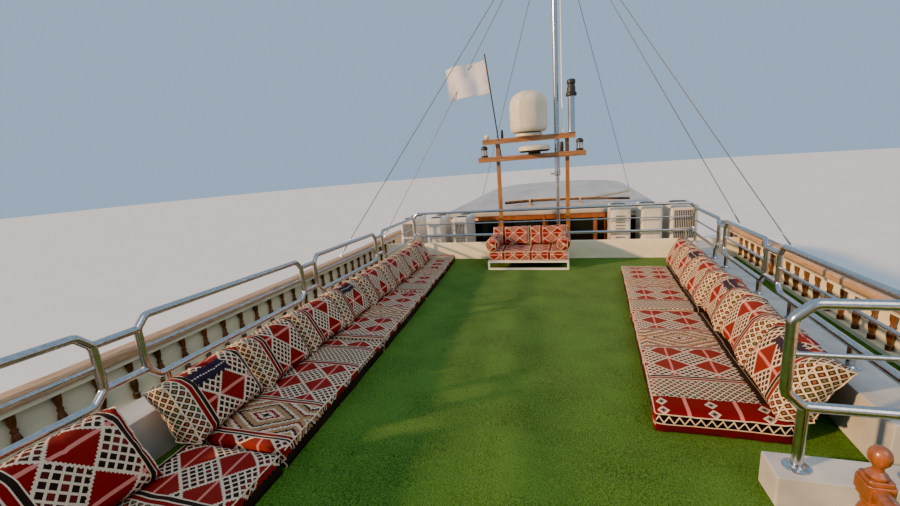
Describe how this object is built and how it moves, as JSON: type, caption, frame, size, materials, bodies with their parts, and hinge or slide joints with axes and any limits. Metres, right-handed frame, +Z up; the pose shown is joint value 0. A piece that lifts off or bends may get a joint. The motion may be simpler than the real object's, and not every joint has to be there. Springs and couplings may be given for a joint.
{
  "type": "passenger dhow, motor driven",
  "caption": "Traditional planked passenger boat with a turfed upper deck, floor seating in woven cushions, steel rails, pole mast with stays and a timber goalpost frame.",
  "frame": {"origin": "on the waterline plane, on the centreline amidships", "axes": "+X to the bow, +Y to port, +Z up"},
  "size_m": [25.75, 6.9196, 11.68],
  "materials": {
    "hull_paint": "painted planking, satin",
    "white_paint": "painted boards, satin",
    "white_steel": "gloss",
    "varnished_timber": "varnished",
    "deck_timber": "oiled",
    "stainless_steel": "polished",
    "cast_iron": "painted",
    "bronze": "satin",
    "turf": "short synthetic pile",
    "woven_fabric": "woven bands",
    "flag_cloth": "plain weave",
    "tinted_glass": "dark tint",
    "moulded_plastic": "moulded"
  },
  "bodies": {
    "boat": {"hull": "hull_paint", "aft_topsides": "hull_paint", "fore_topsides": "hull_paint", "keel": "hull_paint", "engine": "cast_iron", "upper_deck": "white_paint", "turf": "turf", "balustrade": "white_paint", "forward_bulwark": "white_paint", "port_coaming": "white_paint", "starboard_coaming": "white_paint", "port_rail": "stainless_steel", "starboard_rail": "stainless_steel", "forward_rail": "stainless_steel", "stair_coaming": "white_paint", "stair_rail": "stainless_steel", "stair": "varnished_timber", "newel_rail": "varnished_timber", "port_saloon_wall": "white_paint", "starboard_saloon_wall": "white_paint", "saloon_aft_wall": "white_paint", "saloon_fore_wall": "white_paint", "fore_saloon_aft_wall": "white_paint", "fore_saloon_port_wall": "white_paint", "fore_saloon_starboard_wall": "white_paint", "fore_saloon_front": "white_paint", "fore_roof": "white_paint", "helm_console": "varnished_timber", "mast": "stainless_steel", "goalpost_frame": "varnished_timber", "whip_antenna": "moulded_plastic", "satellite_dome": "moulded_plastic", "radar": "moulded_plastic", "flue": "stainless_steel", "stays": "stainless_steel", "flag_staff": "varnished_timber", "flag": "flag_cloth", "spar": "deck_timber", "port_cooling_units": "moulded_plastic", "starboard_cooling_units": "moulded_plastic", "bench_frame": "white_steel", "bench_seat": "woven_fabric", "bench_back": "woven_fabric", "bench_port_bolster": "woven_fabric", "bench_starboard_bolster": "woven_fabric", "port_mattresses": "woven_fabric", "starboard_mattresses": "woven_fabric", "port_aft_cushion": "woven_fabric", "port_back_cushions": "woven_fabric", "starboard_back_cushions": "woven_fabric", "port_saloon_glass": "tinted_glass", "starboard_saloon_glass": "tinted_glass", "aft_glazing": "tinted_glass"},
    "propeller": {"propeller": "bronze"},
    "rudder": {"rudder": "hull_paint"},
    "helm": {"helm_wheel": "varnished_timber"},
    "saloon_door": {"saloon_door": "varnished_timber"},
    "side_door": {"side_door": "varnished_timber"},
    "engine_hatch": {"engine_hatch": "deck_timber"}
  },
  "joints": [
    {"name": "propeller_spin", "type": "hinge", "parent": "boat", "child": "propeller", "pos_m": [-10.62, 0, -0.95], "axis": [0.9825, 0, 0.1863], "continuous": true},
    {"name": "rudder_turn", "type": "hinge", "parent": "boat", "child": "rudder", "pos_m": [-11.3, 0, -1], "axis": [0, 0, 1], "range_deg": [-35, 35]},
    {"name": "helm_turn", "type": "hinge", "parent": "boat", "child": "helm", "pos_m": [8.12, 0, 3.3954], "axis": [1, 0, 0], "range_deg": [-350, 350]},
    {"name": "saloon_door_swing", "type": "hinge", "parent": "boat", "child": "saloon_door", "pos_m": [-10.412, 0.35, 2.7], "axis": [0, 0, -1], "range_deg": [0, 110]},
    {"name": "side_door_slide", "type": "slide", "parent": "boat", "child": "side_door", "axis": [-1, 0, 0], "range_m": [0, 0.7]},
    {"name": "engine_hatch_lift", "type": "hinge", "parent": "boat", "child": "engine_hatch", "pos_m": [-7.46, -0.68, 1.5373], "axis": [0.9981, 0, -0.061], "range_deg": [0, 85]}
  ],
  "couplings": [
    {"joint": "rudder_turn", "follows": "helm_turn", "ratio": 0.1}
  ]
}
